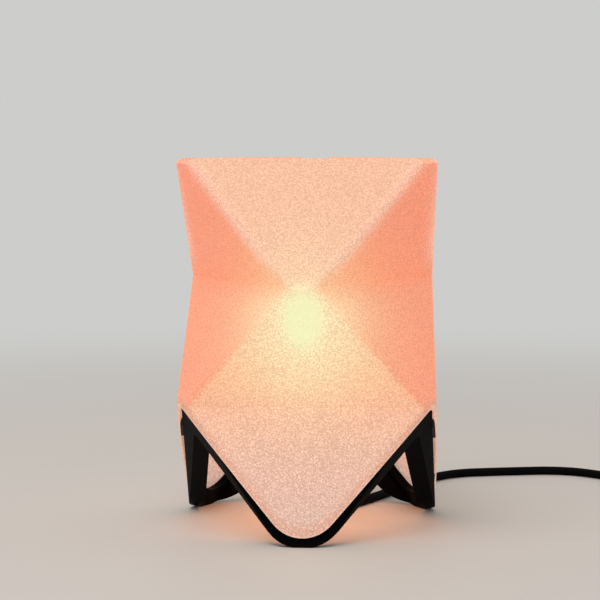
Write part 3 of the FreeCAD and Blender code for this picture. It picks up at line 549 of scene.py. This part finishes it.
def shade_material():
    """Pebbled translucent coral sheet with the bulb's light coming through."""
    material, w, shader, place = new_material("coral_pebbled_sheet")
    light = place_group(w, LAMP_LIGHT, Place=place)
    grain = place_group(w, GRAIN, Place=place, Grain_Size=0.9, Mottle_Size=26.0)
    facing = w.add("ShaderNodeLayerWeight").outputs["Facing"]
    square_on = w.math("SUBTRACT", 1.0, w.step(facing, *EDGE_ON))
    pebbles = w.add("ShaderNodeTexVoronoi", feature="SMOOTH_F1")
    w.join(place, pebbles.inputs["Vector"])
    pebbles.inputs["Scale"].default_value = PEBBLE_SCALE
    pebbles.inputs["Smoothness"].default_value = 0.5
    level = light.outputs["Level"]
    over_waist = w.step(level, WAIST_LEVEL - 0.018, WAIST_LEVEL + 0.006)
    over_shoulder = w.step(level, SHOULDER_LEVEL - 0.030, SHOULDER_LEVEL + 0.020)
    over_foot = w.step(level, 0.010, 0.075)
    middle = light.outputs["Middle"]

    side_high = w.mix(middle, SIDE_HIGH_OUTER, SIDE_HIGH_INNER)
    side_low = w.mix(middle, SIDE_LOW_OUTER, SIDE_LOW_INNER)
    side = w.mix(over_waist, side_low, side_high)
    kite_foot = w.mix(over_foot, KITE_TIP, KITE_FOOT)
    kite = w.mix(over_shoulder, kite_foot, w.mix(middle, KITE_OUTER, KITE_INNER))
    kite = w.mix(over_waist, kite, KITE_TOP)
    body = w.mix(w.math("MULTIPLY", light.outputs["Kite"], square_on), side, kite)
    # a pale painted highlight along the upper folds, faded where the sheet is seen edge on
    crease_highlight = w.math("MULTIPLY", light.outputs["Crease"], square_on)
    body = w.mix(w.math("MULTIPLY", crease_highlight, 0.6), body, CREASE_HIGHLIGHT_TONE)
    # darken the sheet just above the zigzag edge: painted shade where the frame behind it blocks the bulb's
    # light
    body = w.mix(w.math("MULTIPLY", light.outputs["Frame Shade"], 0.75), body, FRAME_SHADE_TONE)
    halo = w.math("MULTIPLY", light.outputs["Halo"], w.math("MULTIPLY_ADD", over_waist, -0.5, 1.0))
    body = w.mix(halo, body, HALO_TONE)
    body = w.mix(light.outputs["Hot"], body, HOT_TONE)

    fine = w.math("SUBTRACT", grain.outputs["Height"], 0.5)
    cells = w.math("SUBTRACT", pebbles.outputs["Distance"], 0.45)
    coarse = w.math("MULTIPLY_ADD", w.math("SUBTRACT", 1.0, over_shoulder), 0.7, 1.0)
    coarse = w.math("MULTIPLY", coarse, w.math("MULTIPLY_ADD", light.outputs["Hot"], -0.85, 1.0))
    tone = w.math("MULTIPLY_ADD", fine, w.math("MULTIPLY", coarse, 1.5), 1.0)
    tone = w.math("MULTIPLY_ADD", cells, w.math("MULTIPLY", coarse, -0.6), tone)
    tone = w.math("MAXIMUM", tone, DARKEST_GRAIN)
    glints = w.step(w.noise(place, 1500.0, 2.0, 0.7), *GLINTS)
    glint_room = w.math("MAXIMUM", crease_highlight, w.math("SUBTRACT", 1.0, over_shoulder))
    glints = w.math("MULTIPLY", glints, w.math("MULTIPLY_ADD", glint_room, 0.85, 0.15))
    grey = w.add("ShaderNodeCombineColor")
    for channel in ("Red", "Green", "Blue"):
        w.join(tone, grey.inputs[channel])
    lit = w.add("ShaderNodeMix", data_type="RGBA", blend_type="MULTIPLY")
    lit.inputs["Factor"].default_value = 1.0
    w.join(body, lit.inputs["A"])
    w.join(grey.outputs["Color"], lit.inputs["B"])
    glow = w.mix(w.math("MULTIPLY", glints, 0.45), lit.outputs["Result"], GLINT_TONE)
    # a thin pale painted highlight along the cut edge, faded where the sheet is seen edge on
    edge_highlight = w.math("MULTIPLY", light.outputs["Edge Highlight"], w.math("MULTIPLY", square_on, 0.25))
    glow = w.mix(edge_highlight, glow, EDGE_HIGHLIGHT_TONE)
    w.join(glow, shader.inputs["Emission Color"])
    shader.inputs["Emission Strength"].default_value = 1.0

    mottle = w.math("MULTIPLY", w.step(grain.outputs["Mottle"], 0.35, 0.75), 0.5)
    w.join(w.mix(mottle, (0.42, 0.19, 0.125, 1), (0.36, 0.17, 0.12, 1)), shader.inputs["Base Color"])
    w.join(w.math("MULTIPLY_ADD", grain.outputs["Height"], 0.22, 0.34), shader.inputs["Roughness"])
    shader.inputs["IOR"].default_value = 1.45
    relief = w.math("MULTIPLY_ADD", pebbles.outputs["Distance"], -0.7, grain.outputs["Height"])
    bump(w, shader, relief, 0.7, 0.0007)
    return material


def satin_black():
    """Satin black coat of the frame, slightly mottled, with a trace of dust."""
    material, w, shader, place = new_material("satin_black_coat")
    normal = w.add("ShaderNodeNewGeometry").outputs["Normal"]
    grain = place_group(w, GRAIN, Place=place, Grain_Size=0.35, Mottle_Size=14.0)
    dust = place_group(w, DUST, Place=place, Normal=normal, Amount=0.006)
    mottle = w.step(grain.outputs["Mottle"], 0.3, 0.8)
    tone = w.mix(mottle, (0.0010, 0.0009, 0.0012, 1), (0.0022, 0.0020, 0.0023, 1))
    tone = w.mix(dust.outputs["Mask"], tone, (0.16, 0.15, 0.14, 1))
    w.join(tone, shader.inputs["Base Color"])
    w.join(w.math("MULTIPLY_ADD", grain.outputs["Mottle"], 0.2, 0.36), shader.inputs["Roughness"])
    shader.inputs["Specular IOR Level"].default_value = 0.02
    bump(w, shader, grain.outputs["Height"], 0.22, 0.0001)
    return material


def moulded(name, colour, mottled_colour, roughness, grain_size=0.45, dusty=0.12, shine=0.5):
    """Moulded, coated or fired surface with fine grain and settled dust."""
    material, w, shader, place = new_material(name)
    normal = w.add("ShaderNodeNewGeometry").outputs["Normal"]
    grain = place_group(w, GRAIN, Place=place, Grain_Size=grain_size, Mottle_Size=9.0)
    dust = place_group(w, DUST, Place=place, Normal=normal, Amount=dusty)
    tone = w.mix(w.step(grain.outputs["Mottle"], 0.3, 0.75), colour, mottled_colour)
    tone = w.mix(dust.outputs["Mask"], tone, (0.30, 0.28, 0.26, 1))
    w.join(tone, shader.inputs["Base Color"])
    w.join(w.math("MULTIPLY_ADD", grain.outputs["Mottle"], 0.16, roughness), shader.inputs["Roughness"])
    shader.inputs["Specular IOR Level"].default_value = shine
    bump(w, shader, grain.outputs["Height"], 0.3, 0.00012)
    return material


def metal(name, colour, tarnish, roughness):
    """Plated or pressed metal with fine brushing and a little tarnish."""
    material, w, shader, place = new_material(name)
    stretched = w.add("ShaderNodeMapping")
    stretched.inputs["Scale"].default_value = (1, 1, 9)
    w.join(place, stretched.inputs["Vector"])
    grain = place_group(w, GRAIN, Place=stretched.outputs["Vector"], Grain_Size=0.25, Mottle_Size=6.0)
    tone = w.mix(w.step(grain.outputs["Mottle"], 0.42, 0.8), colour, tarnish)
    w.join(tone, shader.inputs["Base Color"])
    shader.inputs["Metallic"].default_value = 1.0
    w.join(w.math("MULTIPLY_ADD", grain.outputs["Mottle"], 0.25, roughness), shader.inputs["Roughness"])
    bump(w, shader, grain.outputs["Height"], 0.15, 0.00006)
    return material


def bulb_material():
    """Opal bulb, lit: warm white, more orange at its neck."""
    material, w, shader, place = new_material("opal_glass_lit")
    level = w.add("ShaderNodeSeparateXYZ")
    w.join(place, level.inputs[0])
    over_neck = w.step(level.outputs["Z"], *BULB_NECK)
    cloud = w.noise(place, 140.0, 3.0)
    warm = w.mix(over_neck, (1.0, 0.66, 0.34, 1), (1.0, 0.86, 0.62, 1))
    warm = w.mix(w.math("MULTIPLY", cloud, 0.25), warm, (1.0, 0.78, 0.50, 1))
    w.join(warm, shader.inputs["Emission Color"])
    shader.inputs["Emission Strength"].default_value = 0.8
    w.join(w.mix(cloud, (0.86, 0.84, 0.78, 1), (0.93, 0.91, 0.86, 1)), shader.inputs["Base Color"])
    w.join(w.math("MULTIPLY_ADD", cloud, 0.12, 0.12), shader.inputs["Roughness"])
    shader.inputs["IOR"].default_value = 1.5
    return material


MATERIALS = {
    "shade": shade_material(),
    "frame_black": satin_black(),
    "pad_black": moulded("black_foam_pad", (0.012, 0.012, 0.012, 1), (0.02, 0.02, 0.02, 1), 0.72, 0.6, 0.05),
    "bracket_white": moulded(
        "powder_coat_white", (0.74, 0.74, 0.72, 1), (0.66, 0.65, 0.63, 1), 0.42, 0.5, 0.1
    ),
    "zinc_steel": metal("bright_zinc", (0.62, 0.62, 0.61, 1), (0.42, 0.41, 0.39, 1), 0.26),
    "holder_white": moulded("white_thermoset", (0.80, 0.79, 0.75, 1), (0.74, 0.72, 0.67, 1), 0.28, 0.7, 0.1),
    "holder_ceramic": moulded(
        "unglazed_ceramic", (0.82, 0.80, 0.75, 1), (0.74, 0.71, 0.65, 1), 0.6, 0.4, 0.05
    ),
    "brass_contact": metal("pressed_brass", (0.72, 0.52, 0.22, 1), (0.45, 0.29, 0.12, 1), 0.24),
    "bulb_opal": bulb_material(),
    "cap_nickel": metal("nickel_cap", (0.66, 0.63, 0.58, 1), (0.46, 0.43, 0.38, 1), 0.22),
    "insulator_black": moulded(
        "black_glass_insulator", (0.012, 0.012, 0.016, 1), (0.02, 0.02, 0.024, 1), 0.12, 0.8, 0.03
    ),
    "cord_black": moulded(
        "black_cord_sleeve", (0.0010, 0.0010, 0.0012, 1), (0.0022, 0.0021, 0.0021, 1), 0.6, 0.55, 0.006, 0.05
    ),
    "switch_black": moulded(
        "black_spark_plastic", (0.006, 0.006, 0.0066, 1), (0.011, 0.0105, 0.010, 1), 0.44, 0.5, 0.05, 0.22
    ),
    "pin_brass": metal("nickel_pins", (0.70, 0.67, 0.61, 1), (0.50, 0.46, 0.38, 1), 0.18),
}


def dress(piece, material):
    piece.data.materials.clear()
    piece.data.materials.append(material)


for entry in frame["record"]["subparts"]:
    dress(NODES[entry["node"]], MATERIALS[entry["material_slot"]])
for piece in (cord, holder_sleeve, switch_sleeve, plug_sleeve):
    dress(piece, MATERIALS["cord_black"])


# ---------------------------------------------------------------- surface, backdrop and light

BACKDROP = (0.61, 0.612, 0.60, 1)
FLOOR_FADE = (0.35, 1.5)  # distance from the lamp, in metres


def pale_floor():
    """A pale surface that fades into the backdrop's grey away from the lamp."""
    start_fresh()
    bpy.ops.mesh.primitive_circle_add(vertices=96, radius=9, fill_type="NGON", location=(0, 0, 0))
    floor = begin_piece("pale_floor")
    material, w, shader, place = new_material("pale_floor")
    parts = w.add("ShaderNodeSeparateXYZ")
    w.join(place, parts.inputs[0])
    far_x = w.math("MULTIPLY", parts.outputs["X"], parts.outputs["X"])
    far_y = w.math("MULTIPLY", parts.outputs["Y"], parts.outputs["Y"])
    far = w.math("SQRT", w.math("ADD", far_x, far_y))
    mottle = w.noise(place, 6.0, 4.0)
    w.join(w.mix(mottle, (0.63, 0.585, 0.545, 1), (0.67, 0.62, 0.575, 1)), shader.inputs["Base Color"])
    shader.inputs["Roughness"].default_value = 0.62
    glow = w.add("ShaderNodeEmission")
    glow.inputs["Color"].default_value = BACKDROP
    blend = w.add("ShaderNodeMixShader")
    w.join(w.step(far, *FLOOR_FADE), blend.inputs["Fac"])
    w.join(shader.outputs[0], blend.inputs[1])
    w.join(glow.outputs[0], blend.inputs[2])
    w.join(blend.outputs[0], w.nodes["Material Output"].inputs["Surface"])
    dress(floor, material)


def soft_light(name, place, aim, size, power, colour=(1, 1, 1)):
    """A round soft lamp that isn't seen itself."""
    data = bpy.data.lights.new(name, "AREA")
    data.shape = "DISK"
    data.size = size
    data.energy = power
    data.color = colour
    lamp = bpy.data.objects.new(name, data)
    lamp.location = place
    lamp.rotation_euler = (Vector(aim) - Vector(place)).to_track_quat("-Z", "Y").to_euler()
    lamp.visible_camera = False
    bpy.context.scene.collection.objects.link(lamp)


def studio():
    """Grey surroundings, a softbox overhead and the bulb's glow on the floor under the lamp."""
    world = bpy.data.worlds.new("pale_studio")
    world.use_nodes = True
    background = world.node_tree.nodes["Background"]
    background.inputs["Color"].default_value = BACKDROP
    background.inputs["Strength"].default_value = 1.0
    bpy.context.scene.world = world
    soft_light("overhead_softbox", (-0.35, -0.55, 1.7), (0, 0, 0.12), 1.3, 11.5)
    soft_light("glow_through_foot", (0, 0, 0.074), (0, 0, 0), 0.10, 0.068, (1.0, 0.50, 0.30))
    bpy.context.scene.view_settings.view_transform = "Standard"


pale_floor()
studio()

bpy.context.view_layer.update()
